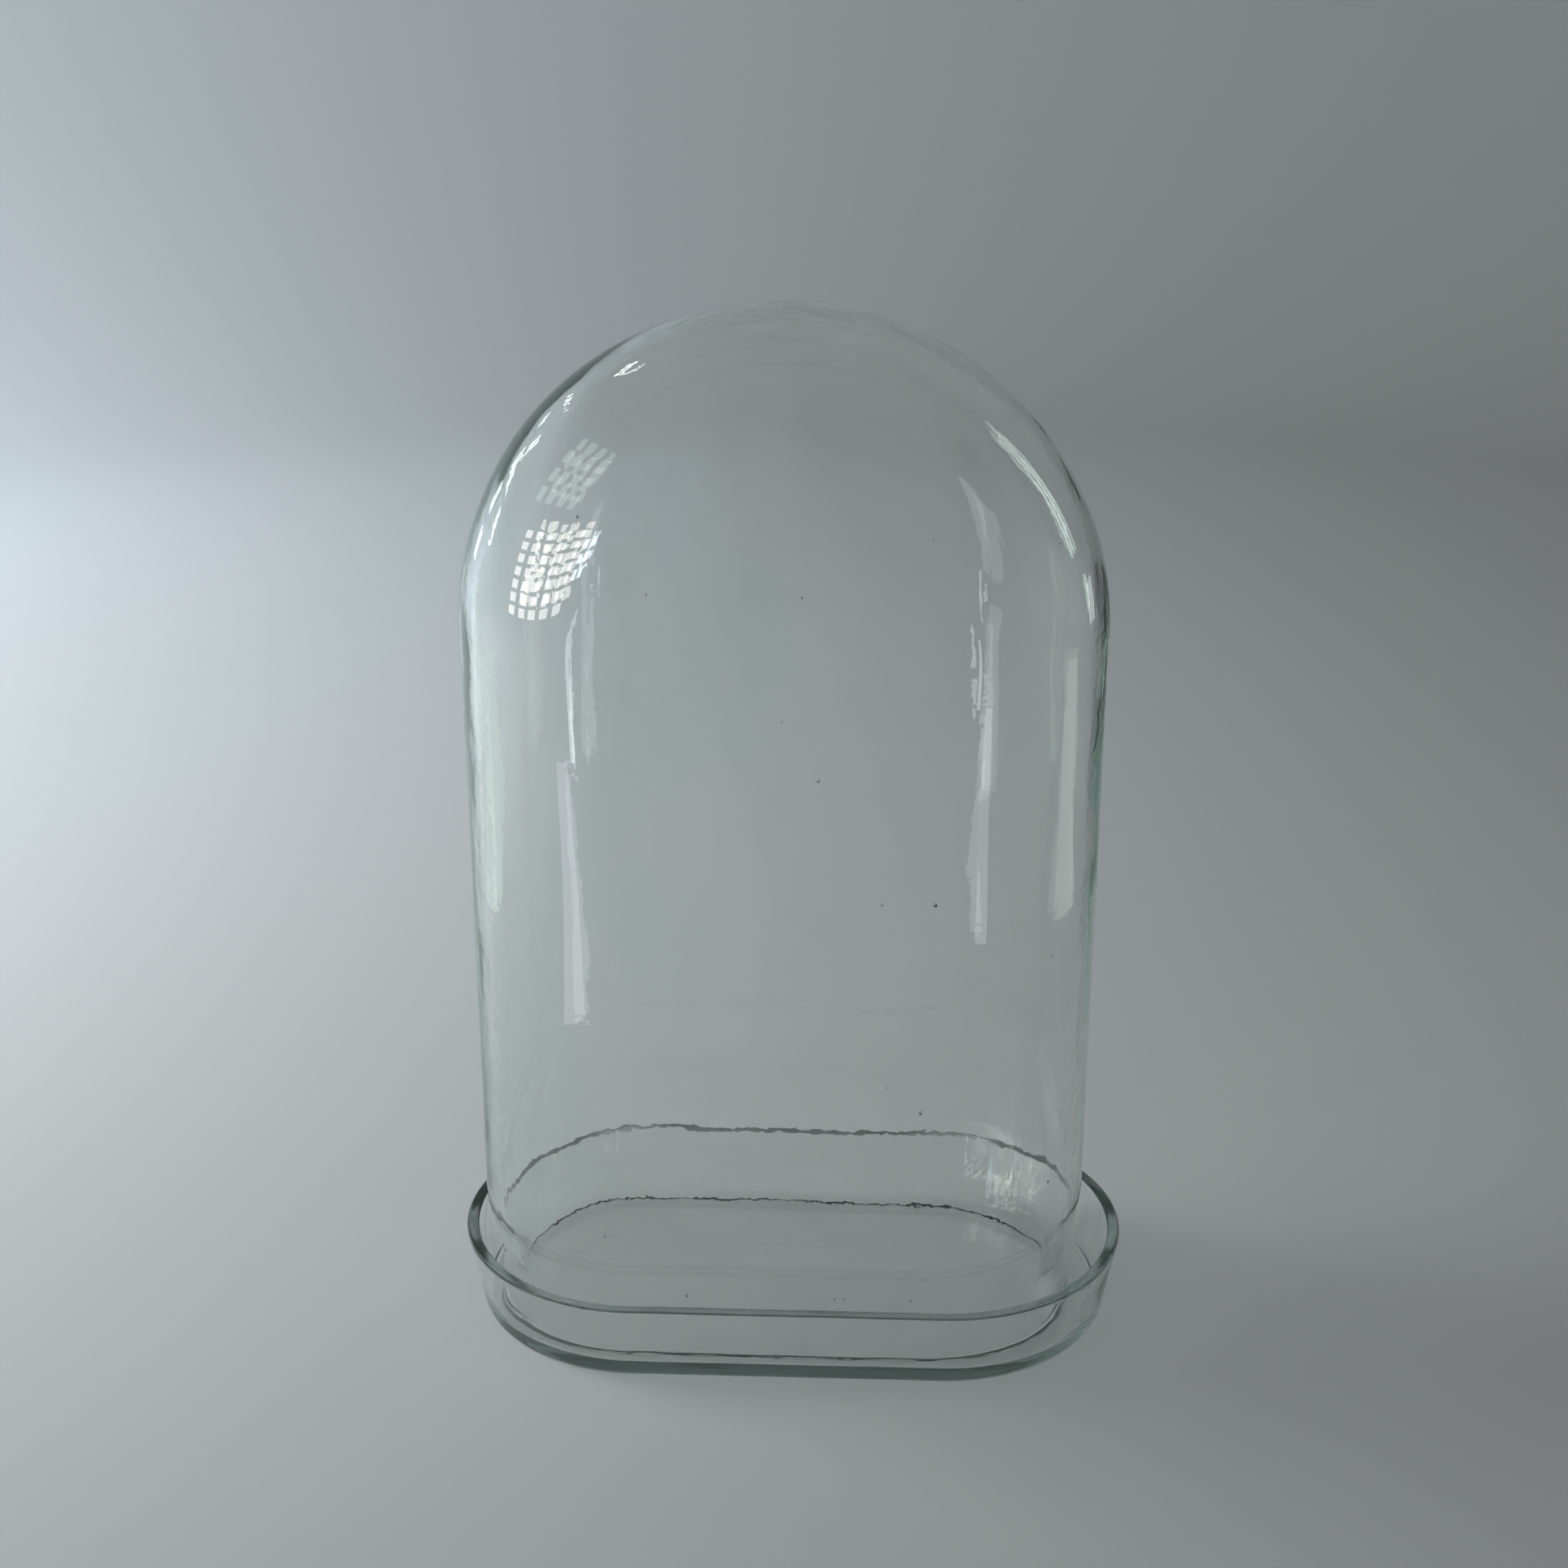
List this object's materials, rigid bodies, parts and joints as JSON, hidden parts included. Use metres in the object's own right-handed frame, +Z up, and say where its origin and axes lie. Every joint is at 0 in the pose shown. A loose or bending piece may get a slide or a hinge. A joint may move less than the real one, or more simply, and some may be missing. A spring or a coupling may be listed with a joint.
{
  "type": "glass cloche",
  "caption": "Tall arched obround display dome of blown glass, standing loose in a shallow flared glass tray with a ground rim.",
  "frame": {"origin": "on the supporting surface, under the middle of the tray", "axes": "+Z up out of the tray, X along the length of the obround, -Y towards the viewer's side"},
  "size_m": [0.3296, 0.1818, 0.5015],
  "materials": {
    "dome_glass": "clear blown glass, faintly grey-green, gently wavy, with a few seeds",
    "tray_glass": "clear pressed glass, blue-green on edge, with a flat ground rim"
  },
  "bodies": {
    "tray": {"glass_tray": "tray_glass"},
    "dome": {"glass_dome": "dome_glass"}
  },
  "joints": [
    {"name": "dome_lift", "type": "slide", "parent": "tray", "child": "dome", "axis": [0, 0, 1], "range_m": [0, 0.52]}
  ]
}
